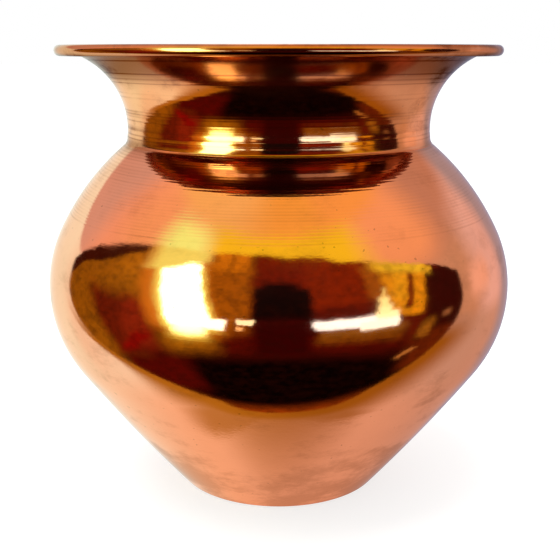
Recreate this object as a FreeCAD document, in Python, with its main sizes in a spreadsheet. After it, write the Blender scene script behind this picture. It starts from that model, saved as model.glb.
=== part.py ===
"""Copper kalash (lota): a round-bellied water pot made of three spun sheets, two brazes and a rim wire.

The origin is at the centre of the base, on the surface that the pot stands on, and Z is the pot's axis.
Each piece is a half-section, drawn on its body's XZ plane and turned once round Z.
"""
import FreeCAD, Part
import math
import os
import Sketcher

# Driving dimensions: alias, millimetres, what it is.
DIMENSIONS = (
    ("sheet_thickness", 0.6, "copper sheet, the same in all three shells"),
    ("total_height", 100.0, "base to the top of the rim"),
    ("rim_radius", 48.8, "outside of the rolled rim"),
    ("bead_radius", 1.15, "half the thickness of the rolled rim"),
    ("wire_radius", 0.53, "stiffening wire inside the rolled rim"),
    ("flare_radius", 16.8, "curve of the mouth's flare, on its underside"),
    ("waist_radius", 33.8, "outside of the neck at its narrowest"),
    ("waist_land", 0.9, "upright band between the skirt and the flare"),
    ("neck_height", 81.6, "base to the bottom of that band"),
    ("skirt_radius", 3.6, "curve of the collar's skirt, on its outside"),
    ("skirt_drop", 2.4, "how far the skirt's edge lies below the band"),
    ("shoulder_bow", 57.0, "slight bow of the upper shoulder"),
    ("upper_belly_radius", 29.6, "curve from the belly's widest line up to the shoulder"),
    ("belly_radius", 52.4, "outside of the belly at its widest"),
    ("belly_height", 46.8, "base to the belly's widest line, where the two halves meet"),
    ("lap_height", 4.0, "how far the bowl's edge reaches up inside the shoulder"),
    ("joggle_height", 1.4, "height over which the bowl's edge is stepped in"),
    ("lower_belly_radius", 29.0, "curve from the lower wall up to the belly's widest line"),
    ("wall_bow", 450.0, "slight bow of the lower wall"),
    ("corner_radius", 1.4, "outside of the corner between base and wall"),
    ("base_radius", 22.9, "edge of the flat ring that the pot stands on"),
    ("dome_radius", 17.0, "inner edge of that ring, where the middle is pushed up"),
    ("dome_rise", 0.7, "how far the middle of the base is pushed up"),
    ("braze_leg", 0.9, "height of the braze fillets"),
)

# The points of a sketch's line or arc. An arc runs anticlockwise from START to END.
START, END, CENTRE = 1, 2, 3
X_AXIS, Z_AXIS = -1, -2


def fill_sheet(doc):
    """Make the spreadsheet of driving dimensions, and return its values by alias."""
    sheet = doc.addObject("Spreadsheet::Sheet", "Sizes")
    for row, (alias, value, meaning) in enumerate(DIMENSIONS, start=1):
        sheet.set(f"A{row}", alias)
        sheet.set(f"B{row}", str(value))
        sheet.set(f"C{row}", meaning)
        sheet.setAlias(f"B{row}", alias)
    doc.recompute()
    return {alias: float(sheet.get(alias)) for alias, _, _ in DIMENSIONS}


def crossing(first, first_reach, second, second_reach, side):
    """The point at these reaches from two others, to the left (+1) or right (-1) of first to second."""
    across = (second[0] - first[0], second[1] - first[1])
    gap = math.hypot(*across)
    along = (first_reach ** 2 - second_reach ** 2 + gap ** 2) / (2 * gap)
    aside = side * math.sqrt(first_reach ** 2 - along ** 2)
    return (first[0] + (along * across[0] - aside * across[1]) / gap,
            first[1] + (along * across[1] + aside * across[0]) / gap)


def bearing(centre, point):
    """The direction from centre to point, in degrees anticlockwise from +X."""
    return math.degrees(math.atan2(point[1] - centre[1], point[0] - centre[0]))


def on_circle(centre, radius, angle):
    """The point of a circle at an angle in degrees."""
    turn = math.radians(angle)
    return (centre[0] + radius * math.cos(turn), centre[1] + radius * math.sin(turn))


def angle_at(centre, radius, height):
    """The angle, on its right half, at which a circle reaches a height."""
    return math.degrees(math.asin((height - centre[1]) / radius))


class Section:
    """One piece: a body, the sketch of its half-section, and the revolution that makes it solid."""

    def __init__(self, doc, label, sizes):
        self.sizes = sizes
        self.body = doc.addObject("PartDesign::Body", label)
        self.body.Label = label
        self.sketch = self.body.newObject("Sketcher::SketchObject", label + "_section")
        planes = self.body.Origin.OriginFeatures
        self.sketch.AttachmentSupport = [(plane, "") for plane in planes if plane.Role == "XZ_Plane"]
        self.sketch.MapMode = "FlatFace"

    def line(self, start, end):
        places = [FreeCAD.Vector(x, z, 0) for x, z in (start, end)]
        return self.sketch.addGeometry(Part.LineSegment(*places), False)

    def circle(self, centre, radius):
        return Part.Circle(FreeCAD.Vector(*centre, 0), FreeCAD.Vector(0, 0, 1), radius)

    def arc(self, centre, radius, start_angle, end_angle):
        ends = (math.radians(start_angle), math.radians(end_angle))
        return self.sketch.addGeometry(Part.ArcOfCircle(self.circle(centre, radius), *ends), False)

    def relate(self, kind, *places):
        """A constraint with no size, such as Coincident, Tangent or Horizontal."""
        self.sketch.addConstraint(Sketcher.Constraint(kind, *places))

    def measure(self, kind, *places, **terms):
        """A constraint bound to the sheet: the sum of its cells, each times the factor given."""
        value = sum(factor * self.sizes[alias] for alias, factor in terms.items())
        index = self.sketch.addConstraint(Sketcher.Constraint(kind, *places, value))
        name = f"{kind}_{index}"
        self.sketch.renameConstraint(index, name)
        bound = " + ".join(f"{factor} * Sizes.{alias}" for alias, factor in terms.items())
        self.sketch.setExpression("Constraints." + name, bound)

    def out(self, item, point, **terms):
        """Hold a point at a distance from the pot's axis."""
        self.measure("DistanceX", X_AXIS, START, item, point, **terms)

    def up(self, item, point, **terms):
        """Hold a point at a height above the base."""
        self.measure("DistanceY", X_AXIS, START, item, point, **terms)

    def revolve(self):
        turned = self.body.newObject("PartDesign::Revolution", self.body.Name + "_turned")
        turned.Profile = self.sketch
        turned.ReferenceAxis = (self.sketch, ["V_Axis"])
        turned.Angle = 360


def make_bowl(doc, size):
    """Base, lower wall and lower belly, with its edge stepped in to fit inside the shoulder."""
    part = Section(doc, "bowl", size)
    sheet = size["sheet_thickness"]
    corner_at = (size["base_radius"], size["corner_radius"])
    belly_at = (size["belly_radius"] - size["lower_belly_radius"], size["belly_height"])
    lip_at = (size["belly_radius"] - size["upper_belly_radius"], size["belly_height"])
    wall_at = crossing(corner_at, size["wall_bow"] - size["corner_radius"],
                       belly_at, size["wall_bow"] - size["lower_belly_radius"], side=1)
    low, high = bearing(wall_at, corner_at), bearing(wall_at, belly_at)
    dome_bend = (size["dome_radius"] ** 2 + size["dome_rise"] ** 2) / (2 * size["dome_rise"])
    dome_at = (0.0, size["dome_rise"] - dome_bend)
    dome_edge = bearing(dome_at, (size["dome_radius"], 0.0))
    inner_dome_edge = angle_at(dome_at, dome_bend + sheet, sheet)
    lip_radius = size["upper_belly_radius"] - sheet
    lip_angle = angle_at(lip_at, lip_radius, size["belly_height"] + size["lap_height"])
    lip_top = on_circle(lip_at, lip_radius, lip_angle)
    inner_lip_top = on_circle(lip_at, lip_radius - sheet, lip_angle)
    inner_belly_radius = size["lower_belly_radius"] - sheet
    joggle_angle = angle_at(belly_at, inner_belly_radius, size["belly_height"] - size["joggle_height"])
    joggle_foot = on_circle(belly_at, inner_belly_radius, joggle_angle)

    # Outside, from the axis out and up.
    dome = part.arc(dome_at, dome_bend, dome_edge, 90)
    foot = part.line((size["dome_radius"], 0), (size["base_radius"], 0))
    corner = part.arc(corner_at, size["corner_radius"], -90, low)
    wall = part.arc(wall_at, size["wall_bow"], low, high)
    belly = part.arc(belly_at, size["lower_belly_radius"], high, 0)
    step = part.line((size["belly_radius"], lip_at[1]), (size["belly_radius"] - sheet, lip_at[1]))
    lip = part.arc(lip_at, lip_radius, 0, lip_angle)
    edge = part.line(lip_top, inner_lip_top)

    # Inside, back down to the axis.
    inner_lip = part.arc(lip_at, lip_radius - sheet, 0, lip_angle)
    joggle = part.line((size["belly_radius"] - 2 * sheet, lip_at[1]), joggle_foot)
    inner_belly = part.arc(belly_at, inner_belly_radius, high, joggle_angle)
    inner_wall = part.arc(wall_at, size["wall_bow"] - sheet, low, high)
    inner_corner = part.arc(corner_at, size["corner_radius"] - sheet, -90, low)
    floor = part.line(on_circle(dome_at, dome_bend + sheet, inner_dome_edge), (size["base_radius"], sheet))
    inner_dome = part.arc(dome_at, dome_bend + sheet, inner_dome_edge, 90)
    axis = part.line((0, size["dome_rise"]), (0, size["dome_rise"] + sheet))

    part.relate("PointOnObject", dome, CENTRE, Z_AXIS)
    part.relate("PointOnObject", dome, END, Z_AXIS)
    part.up(dome, END, dome_rise=1)
    part.relate("Coincident", dome, START, foot, START)
    part.relate("PointOnObject", foot, START, X_AXIS)
    part.relate("PointOnObject", foot, END, X_AXIS)
    part.out(foot, START, dome_radius=1)
    part.out(foot, END, base_radius=1)
    part.relate("Tangent", foot, END, corner, START)
    part.measure("Radius", corner, corner_radius=1)
    part.relate("Tangent", corner, END, wall, START)
    part.measure("Radius", wall, wall_bow=1)
    part.relate("Tangent", wall, END, belly, START)
    part.measure("Radius", belly, lower_belly_radius=1)
    part.out(belly, END, belly_radius=1)
    part.up(belly, END, belly_height=1)
    part.relate("Horizontal", belly, CENTRE, belly, END)
    part.relate("Coincident", belly, END, step, START)
    part.relate("Coincident", step, END, lip, START)
    part.out(lip, CENTRE, belly_radius=1, upper_belly_radius=-1)
    part.relate("Horizontal", lip, CENTRE, belly, END)
    part.relate("Horizontal", lip, CENTRE, lip, START)
    part.measure("Radius", lip, upper_belly_radius=1, sheet_thickness=-1)
    part.up(lip, END, belly_height=1, lap_height=1)
    part.relate("Coincident", lip, END, edge, START)
    part.relate("PointOnObject", lip, CENTRE, edge)
    part.relate("Coincident", edge, END, inner_lip, END)
    part.relate("Coincident", lip, CENTRE, inner_lip, CENTRE)
    part.measure("Radius", inner_lip, upper_belly_radius=1, sheet_thickness=-2)
    part.relate("Horizontal", inner_lip, CENTRE, inner_lip, START)
    part.relate("Coincident", inner_lip, START, joggle, START)
    part.relate("Coincident", joggle, END, inner_belly, END)
    part.up(joggle, END, belly_height=1, joggle_height=-1)
    part.relate("Coincident", belly, CENTRE, inner_belly, CENTRE)
    part.measure("Radius", inner_belly, lower_belly_radius=1, sheet_thickness=-1)
    part.relate("Tangent", inner_belly, START, inner_wall, END)
    part.measure("Radius", inner_wall, wall_bow=1, sheet_thickness=-1)
    part.relate("Tangent", inner_wall, START, inner_corner, END)
    part.measure("Radius", inner_corner, corner_radius=1, sheet_thickness=-1)
    part.relate("Tangent", inner_corner, START, floor, END)
    part.relate("Horizontal", floor)
    part.up(floor, END, sheet_thickness=1)
    part.relate("Vertical", foot, END, floor, END)
    part.relate("Coincident", floor, START, inner_dome, START)
    part.relate("Coincident", dome, CENTRE, inner_dome, CENTRE)
    part.relate("PointOnObject", inner_dome, END, Z_AXIS)
    part.up(inner_dome, END, dome_rise=1, sheet_thickness=1)
    part.relate("Coincident", axis, START, dome, END)
    part.relate("Coincident", axis, END, inner_dome, END)
    part.revolve()


def make_shoulder(doc, size):
    """Upper belly and shoulder, ending in an upright lip that the neck collar sits over."""
    part = Section(doc, "shoulder", size)
    sheet = size["sheet_thickness"]
    belly_at = (size["belly_radius"] - size["upper_belly_radius"], size["belly_height"])
    root_at = (size["waist_radius"] + size["skirt_radius"], size["neck_height"])
    root_radius = size["skirt_radius"] + sheet
    bow_at = crossing(belly_at, size["shoulder_bow"] - size["upper_belly_radius"],
                      root_at, size["shoulder_bow"] + root_radius, side=1)
    low, high = bearing(bow_at, belly_at), bearing(bow_at, root_at)
    lip_top = size["neck_height"] + size["waist_land"]
    outer, inner = size["waist_radius"] - sheet, size["waist_radius"] - 2 * sheet

    # Outside, from the belly's widest line up.
    belly = part.arc(belly_at, size["upper_belly_radius"], 0, low)
    bow = part.arc(bow_at, size["shoulder_bow"], low, high)
    root = part.arc(root_at, root_radius, 180, 180 + high)
    lip = part.line((outer, size["neck_height"]), (outer, lip_top))
    edge = part.line((outer, lip_top), (inner, lip_top))

    # Inside, back down.
    inner_lip = part.line((inner, lip_top), (inner, size["neck_height"]))
    inner_root = part.arc(root_at, root_radius + sheet, 180, 180 + high)
    inner_bow = part.arc(bow_at, size["shoulder_bow"] - sheet, low, high)
    inner_belly = part.arc(belly_at, size["upper_belly_radius"] - sheet, 0, low)
    foot = part.line((size["belly_radius"] - sheet, belly_at[1]), (size["belly_radius"], belly_at[1]))

    part.out(belly, START, belly_radius=1)
    part.up(belly, START, belly_height=1)
    part.relate("Horizontal", belly, CENTRE, belly, START)
    part.measure("Radius", belly, upper_belly_radius=1)
    part.relate("Tangent", belly, END, bow, START)
    part.measure("Radius", bow, shoulder_bow=1)
    part.relate("Tangent", bow, END, root, END)
    part.measure("Radius", root, skirt_radius=1, sheet_thickness=1)
    part.relate("Horizontal", root, CENTRE, root, START)
    part.out(root, START, waist_radius=1, sheet_thickness=-1)
    part.up(root, START, neck_height=1)
    part.relate("Coincident", root, START, lip, START)
    part.relate("Vertical", lip)
    part.up(lip, END, neck_height=1, waist_land=1)
    part.relate("Coincident", lip, END, edge, START)
    part.relate("Horizontal", edge)
    part.relate("Coincident", edge, END, inner_lip, START)
    part.relate("Vertical", inner_lip)
    part.relate("Coincident", inner_lip, END, inner_root, START)
    part.relate("Coincident", root, CENTRE, inner_root, CENTRE)
    part.relate("Horizontal", inner_root, CENTRE, inner_root, START)
    part.measure("Radius", inner_root, skirt_radius=1, sheet_thickness=2)
    part.relate("Tangent", inner_root, END, inner_bow, END)
    part.measure("Radius", inner_bow, shoulder_bow=1, sheet_thickness=-1)
    part.relate("Tangent", inner_bow, START, inner_belly, END)
    part.relate("Coincident", belly, CENTRE, inner_belly, CENTRE)
    part.measure("Radius", inner_belly, upper_belly_radius=1, sheet_thickness=-1)
    part.relate("Horizontal", inner_belly, CENTRE, inner_belly, START)
    part.relate("Coincident", inner_belly, START, foot, START)
    part.relate("Coincident", foot, END, belly, START)
    part.revolve()


def make_neck_collar(doc, size):
    """Skirt, waist and flared mouth, with the edge rolled outward round the rim wire."""
    part = Section(doc, "neck_collar", size)
    sheet = size["sheet_thickness"]
    skirt_at = (size["waist_radius"] + size["skirt_radius"], size["neck_height"])
    land_top = size["neck_height"] + size["waist_land"]
    flare_at = (size["waist_radius"] + size["flare_radius"], land_top)
    bead_at = (size["rim_radius"] - size["bead_radius"], size["total_height"] - size["bead_radius"])
    wire_hole = size["bead_radius"] - sheet
    centres = math.dist(flare_at, bead_at)
    lean = math.degrees(math.acos((size["flare_radius"] - wire_hole) / centres))
    rise = bearing(flare_at, bead_at) + lean
    skirt_end = 180 + math.degrees(math.asin(size["skirt_drop"] / size["skirt_radius"]))
    skirt_edge = on_circle(skirt_at, size["skirt_radius"], skirt_end)
    inner_skirt_radius = size["skirt_radius"] + sheet
    inner_skirt_edge = on_circle(skirt_at, inner_skirt_radius, skirt_end)
    inner_flare_radius = size["flare_radius"] + sheet
    inner = size["waist_radius"] - sheet

    # Outside: skirt edge, waist, underside of the flare, and the inside of the roll.
    skirt = part.arc(skirt_at, size["skirt_radius"], 180, skirt_end)
    waist = part.line((size["waist_radius"], size["neck_height"]), (size["waist_radius"], land_top))
    flare = part.arc(flare_at, size["flare_radius"], rise, 180)
    brim = part.line(on_circle(flare_at, size["flare_radius"], rise), on_circle(bead_at, wire_hole, rise))
    roll = part.arc(bead_at, wire_hole, 180, 360 + rise)
    roll_edge = part.line((bead_at[0] - wire_hole, bead_at[1]), (bead_at[0] - size["bead_radius"], bead_at[1]))

    # Mouth side: the outside of the roll, the top of the flare, and down the throat.
    bead = part.arc(bead_at, size["bead_radius"], 180, 360 + rise)
    brim_top = part.line(on_circle(bead_at, size["bead_radius"], rise),
                         on_circle(flare_at, inner_flare_radius, rise))
    mouth = part.arc(flare_at, inner_flare_radius, rise, 180)
    throat = part.line((inner, land_top), (inner, size["neck_height"]))
    inner_skirt = part.arc(skirt_at, inner_skirt_radius, 180, skirt_end)
    edge = part.line(inner_skirt_edge, skirt_edge)

    part.out(skirt, START, waist_radius=1)
    part.up(skirt, START, neck_height=1)
    part.relate("Horizontal", skirt, CENTRE, skirt, START)
    part.measure("Radius", skirt, skirt_radius=1)
    part.up(skirt, END, neck_height=1, skirt_drop=-1)
    part.relate("Coincident", skirt, START, waist, START)
    part.relate("Vertical", waist)
    part.up(waist, END, neck_height=1, waist_land=1)
    part.relate("Coincident", waist, END, flare, END)
    part.relate("Horizontal", flare, CENTRE, flare, END)
    part.measure("Radius", flare, flare_radius=1)
    part.relate("Tangent", flare, START, brim, START)
    part.relate("Tangent", brim, END, roll, END)
    part.out(roll, CENTRE, rim_radius=1, bead_radius=-1)
    part.up(roll, CENTRE, total_height=1, bead_radius=-1)
    part.measure("Radius", roll, bead_radius=1, sheet_thickness=-1)
    part.relate("Horizontal", roll, CENTRE, roll, START)
    part.relate("Coincident", roll, START, roll_edge, START)
    part.relate("Coincident", roll_edge, END, bead, START)
    part.relate("Coincident", roll, CENTRE, bead, CENTRE)
    part.measure("Radius", bead, bead_radius=1)
    part.relate("Horizontal", bead, CENTRE, bead, START)
    part.relate("Tangent", bead, END, brim_top, START)
    part.relate("Tangent", brim_top, END, mouth, START)
    part.relate("Coincident", flare, CENTRE, mouth, CENTRE)
    part.measure("Radius", mouth, flare_radius=1, sheet_thickness=1)
    part.relate("Horizontal", mouth, CENTRE, mouth, END)
    part.relate("Coincident", mouth, END, throat, START)
    part.relate("Coincident", throat, END, inner_skirt, START)
    part.relate("Coincident", skirt, CENTRE, inner_skirt, CENTRE)
    part.measure("Radius", inner_skirt, skirt_radius=1, sheet_thickness=1)
    part.relate("Horizontal", inner_skirt, CENTRE, inner_skirt, START)
    part.relate("Coincident", inner_skirt, END, edge, START)
    part.relate("Coincident", edge, END, skirt, END)
    part.relate("PointOnObject", skirt, CENTRE, edge)
    part.revolve()


def make_rim_wire(doc, size):
    """The ring of wire that the rim is rolled round, its ends butted tight."""
    part = Section(doc, "rim_wire", size)
    centre = (size["rim_radius"] - size["bead_radius"], size["total_height"] - size["bead_radius"])
    wire = part.sketch.addGeometry(part.circle(centre, size["wire_radius"]), False)
    part.out(wire, CENTRE, rim_radius=1, bead_radius=-1)
    part.up(wire, CENTRE, total_height=1, bead_radius=-1)
    part.measure("Radius", wire, wire_radius=1)
    part.revolve()


def make_belly_braze(doc, size):
    """The fillet of braze inside the belly, between the bowl's top edge and the shoulder."""
    part = Section(doc, "belly_braze", size)
    sheet = size["sheet_thickness"]
    centre = (size["belly_radius"] - size["upper_belly_radius"], size["belly_height"])
    radius = size["upper_belly_radius"] - sheet
    bottom = size["belly_height"] + size["lap_height"]
    low = angle_at(centre, radius, bottom)
    high = angle_at(centre, radius, bottom + size["braze_leg"])
    toe = on_circle(centre, radius - sheet, low)

    shoulder_face = part.arc(centre, radius, low, high)
    edge_face = part.line(on_circle(centre, radius, low), toe)
    slope = part.line(toe, on_circle(centre, radius, high))

    part.out(shoulder_face, CENTRE, belly_radius=1, upper_belly_radius=-1)
    part.up(shoulder_face, CENTRE, belly_height=1)
    part.measure("Radius", shoulder_face, upper_belly_radius=1, sheet_thickness=-1)
    part.up(shoulder_face, START, belly_height=1, lap_height=1)
    part.up(shoulder_face, END, belly_height=1, lap_height=1, braze_leg=1)
    part.relate("Coincident", shoulder_face, START, edge_face, START)
    part.relate("PointOnObject", shoulder_face, CENTRE, edge_face)
    part.measure("Distance", edge_face, sheet_thickness=1)
    part.relate("Coincident", edge_face, END, slope, START)
    part.relate("Coincident", slope, END, shoulder_face, END)
    part.revolve()


def make_neck_braze(doc, size):
    """The fillet of braze inside the neck, between the shoulder's lip and the collar."""
    part = Section(doc, "neck_braze", size)
    sheet = size["sheet_thickness"]
    lip_top = size["neck_height"] + size["waist_land"]
    centre = (size["waist_radius"] + size["flare_radius"], lip_top)
    radius = size["flare_radius"] + sheet
    high = 180 - math.degrees(math.asin(size["braze_leg"] / radius))
    heel = (size["waist_radius"] - sheet, lip_top)
    toe = (size["waist_radius"] - 2 * sheet, lip_top)

    collar_face = part.arc(centre, radius, high, 180)
    lip_face = part.line(heel, toe)
    slope = part.line(toe, on_circle(centre, radius, high))

    part.out(collar_face, CENTRE, waist_radius=1, flare_radius=1)
    part.up(collar_face, CENTRE, neck_height=1, waist_land=1)
    part.measure("Radius", collar_face, flare_radius=1, sheet_thickness=1)
    part.relate("Horizontal", collar_face, CENTRE, collar_face, END)
    part.up(collar_face, START, neck_height=1, waist_land=1, braze_leg=1)
    part.relate("Coincident", collar_face, END, lip_face, START)
    part.relate("Horizontal", lip_face)
    part.measure("Distance", lip_face, sheet_thickness=1)
    part.relate("Coincident", lip_face, END, slope, START)
    part.relate("Coincident", slope, END, collar_face, START)
    part.revolve()


def check(doc):
    """Stop if an object failed to rebuild, a sketch isn't fully held, or a piece isn't one sound solid."""
    for item in doc.Objects:
        if {"Invalid", "Error"} & set(item.State):
            raise RuntimeError(f"{item.Label} failed to rebuild: {item.State}")
        if item.isDerivedFrom("Sketcher::SketchObject") and item.solve() != 0:
            raise RuntimeError(f"{item.Label} can't be solved")
        if item.isDerivedFrom("Sketcher::SketchObject") and not item.FullyConstrained:
            raise RuntimeError(f"{item.Label} isn't fully constrained")
    for body in doc.findObjects("PartDesign::Body"):
        shape = body.Shape
        if shape.isNull() or not shape.isValid() or len(shape.Solids) != 1:
            raise RuntimeError(f"{body.Label} isn't one valid solid")


def main():
    doc = FreeCAD.newDocument("kalash")
    size = fill_sheet(doc)
    for make in (make_bowl, make_shoulder, make_neck_collar, make_rim_wire, make_belly_braze, make_neck_braze):
        make(doc, size)
    doc.recompute()
    check(doc)
    os.makedirs("parts", exist_ok=True)
    for body in doc.findObjects("PartDesign::Body"):
        body.Shape.exportStep(f"parts/{body.Label}.step")
        box = body.Shape.optimalBoundingBox(False, False)
        print(f"{body.Label}: {body.Shape.Volume:.1f} mm3, radius {box.XMax:.2f}, z {box.ZMin:.2f} to {box.ZMax:.2f}")


main()
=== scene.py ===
"""Looks of the copper kalash pot.

Three turned shells with their tool marks, two braze fillets, polished copper, and the room it mirrors.
"""
import math

import bpy
import numpy as np
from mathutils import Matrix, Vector


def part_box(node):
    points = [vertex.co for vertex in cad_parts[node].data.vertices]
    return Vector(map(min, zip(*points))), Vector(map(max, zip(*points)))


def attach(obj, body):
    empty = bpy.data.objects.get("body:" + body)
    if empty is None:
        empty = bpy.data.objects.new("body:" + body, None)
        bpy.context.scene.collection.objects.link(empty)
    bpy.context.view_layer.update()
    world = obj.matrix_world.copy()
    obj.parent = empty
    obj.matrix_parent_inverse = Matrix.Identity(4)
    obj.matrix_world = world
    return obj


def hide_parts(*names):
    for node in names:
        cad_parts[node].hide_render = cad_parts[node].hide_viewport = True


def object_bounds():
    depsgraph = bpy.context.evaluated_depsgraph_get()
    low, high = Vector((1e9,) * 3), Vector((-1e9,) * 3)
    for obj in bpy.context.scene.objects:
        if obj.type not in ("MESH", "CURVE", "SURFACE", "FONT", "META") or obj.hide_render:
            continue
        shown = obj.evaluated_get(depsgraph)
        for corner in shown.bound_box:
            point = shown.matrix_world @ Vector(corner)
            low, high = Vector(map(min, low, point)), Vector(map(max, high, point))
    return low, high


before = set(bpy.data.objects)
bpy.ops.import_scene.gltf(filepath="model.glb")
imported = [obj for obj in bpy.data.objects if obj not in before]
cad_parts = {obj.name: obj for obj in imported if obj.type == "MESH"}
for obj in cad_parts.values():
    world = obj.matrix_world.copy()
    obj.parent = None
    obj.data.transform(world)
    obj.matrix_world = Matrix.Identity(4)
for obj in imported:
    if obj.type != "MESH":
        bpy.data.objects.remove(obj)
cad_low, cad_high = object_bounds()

MM = 0.001
ROUND = 288  # steps round the pot
TOUCHING = 1e-6  # points nearer than this, in millimetres, are one

# The pot's own sizes, in millimetres.
SHEET = 0.6
HEIGHT = cad_high.z / MM
RIM_RADIUS, BEAD_RADIUS = 48.8, 1.15
FLARE_RADIUS = 16.8
WAIST_RADIUS, WAIST_LAND, NECK_HEIGHT = 33.8, 0.9, 81.6
SKIRT_RADIUS, SKIRT_DROP = 3.6, 2.4
SKIRT_END = 180 + math.degrees(math.asin(SKIRT_DROP / SKIRT_RADIUS))  # the angle that its arc ends at
SHOULDER_BOW, UPPER_BELLY_RADIUS = 57.0, 29.6
BELLY_RADIUS = 52.4
BELLY_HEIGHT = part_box("shoulder")[0].z / MM
LAP_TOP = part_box("bowl")[1].z / MM
JOGGLE_HEIGHT = 1.4
LOWER_BELLY_RADIUS, WALL_BOW, CORNER_RADIUS = 29.0, 450.0, 1.4
BASE_RADIUS, DOME_RADIUS, DOME_RISE = 22.9, 17.0, 0.7
BRAZE_LEG = 0.9

# Looks that the CAD model leaves out, in millimetres and degrees.
TRUE_ROUND = 30.0  # nearer the axis than this, the sheet waves less and less
CROOK_FROM, CROOK_FULL = 89.5, 95.0  # painted shade darkens the flare's underside between these heights
SKIRT_EDGE, THINNED = 0.1, 30.0  # the skirt's edge is this thin, burnished over this much of its arc
FINISHED_UNDER = 5.0  # the shoulder's outside finish goes on under the skirt for this much of its arc
BASE_RINGS = (3.0, 3.9, 9.5, 15.6)  # radii of the lines turned in the base
BASE_RING_WIDTH = 0.45
SHOULDER_LINES, WAIST_LINES, FLARE_LINES = (64.2, 78.6), (80.6, 86.2), (86.5, 98.0)  # between heights
CREASE_REACH = 2.6  # how far down the shoulder the painted shade in the crease under the skirt reaches
SKIRT_SHADED, SKIRT_UNSHADED = 79.4, 81.4  # painted shade darkens the skirt up to one height, and is gone from the other
BEAD_SHADED, BEAD_UNSHADED = 285.0, 345.0  # angles round the rolled edge, where 270 is its underside; painted shade on it fades out between them

OUTSIDE, INSIDE = 0, 1  # material slots of a shell


# ---------------------------------------------------------------- sections

def crossing(first, first_reach, second, second_reach):
    """The point at these reaches from two others, to the left of the line from first to second."""
    across = np.subtract(second, first)
    gap = np.hypot(*across)
    along = (first_reach ** 2 - second_reach ** 2 + gap ** 2) / (2 * gap)
    aside = math.sqrt(first_reach ** 2 - along ** 2)
    unit = across / gap
    return tuple(first + along * unit + aside * np.array((-unit[1], unit[0])))


def bearing(centre, point):
    """The direction of a point from a centre, in degrees."""
    return math.degrees(math.atan2(point[1] - centre[1], point[0] - centre[0]))


def at(centre, radius, angle):
    """The point at a radius and an angle in degrees from a centre."""
    turn = math.radians(angle)
    return (centre[0] + radius * math.cos(turn), centre[1] + radius * math.sin(turn))


class Section:
    """A closed half-section: its points, each with its sheet side and its tarnish and painted shade, 0 to 1.
    """

    def __init__(self):
        self.points = []
        self.sides = []
        self.tarnish_and_shade = []

    def add(self, points, side, tarnish_and_shade=None):
        tarnish_and_shade = [0.0] * len(points) if tarnish_and_shade is None else list(tarnish_and_shade)
        if self.points and math.dist(self.points[-1], points[0]) < TOUCHING:
            points, tarnish_and_shade = points[1:], tarnish_and_shade[1:]
        self.points += points
        self.sides += [side] * len(points)
        self.tarnish_and_shade += tarnish_and_shade
        return self

    def line(self, start, end, side, step=2.0):
        count = max(1, round(math.dist(start, end) / step))
        mix = np.linspace(0, 1, count + 1)[:, None]
        return self.add([tuple(p) for p in (1 - mix) * start + mix * np.array(end)], side)

    def arc(self, centre, radius, start, end, side, step=1.0):
        count = max(3, round(abs(math.radians(end - start)) * radius / step))
        return self.add([at(centre, radius, angle) for angle in np.linspace(start, end, count + 1)], side)

    def close(self):
        """Drop the last point, where the section has come back to its first."""
        for values in (self.points, self.sides, self.tarnish_and_shade):
            values.pop()


def marks(rng, first, last, pitch, jitter, depth, tarnish_and_shade, width):
    """Turned lines from one height to another, no two alike: place, depth, tarnish and width of each."""
    lines, place = [], first
    while place < last:
        strength = rng.uniform(0.3, 1.0)
        lines.append((place, depth * strength, tarnish_and_shade * strength, width * rng.uniform(0.7, 1.6)))
        place += pitch * rng.uniform(1 - jitter, 1 + jitter)
    return lines


def cut_marks(points, lines, by=1):
    """Sink a fine polyline at each line's place, a radius (by=0) or a height (by=1).

    Returns the new points and the tarnish of each.
    """
    path = np.array(points)
    slope = np.gradient(path, axis=0)
    normal = np.stack([slope[:, 1], -slope[:, 0]], axis=1)
    normal /= np.linalg.norm(normal, axis=1)[:, None]
    depth, tarnish_and_shade = np.zeros(len(path)), np.zeros(len(path))
    for place, deep, dark, width in lines:
        shape = np.exp(-((path[:, by] - place) / width) ** 2)
        depth += deep * shape
        tarnish_and_shade += dark * shape
    return [tuple(p) for p in path - depth[:, None] * normal], tarnish_and_shade


def fade(values, low, high):
    """0 up to low, 1 from high on, smooth between."""
    step = np.clip((np.asarray(values) - low) / (high - low), 0, 1)
    return step * step * (3 - 2 * step)


# ---------------------------------------------------------------- turning

def waviness(height, angle):
    """Hand-finished sheet is never quite round: how far it stands out, in millimetres."""
    return (0.05 * np.cos(2 * angle + 0.6 + height / 60)
            + 0.022 * np.cos(3 * angle - 1.1) * np.cos(height / 9.5)
            + 0.010 * np.cos(5 * angle + 2.0) * np.cos(height / 6.1 + 1.3)
            + 0.006 * np.cos(9 * angle - 0.4) * np.cos(height / 4.3 + 0.7))


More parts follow.
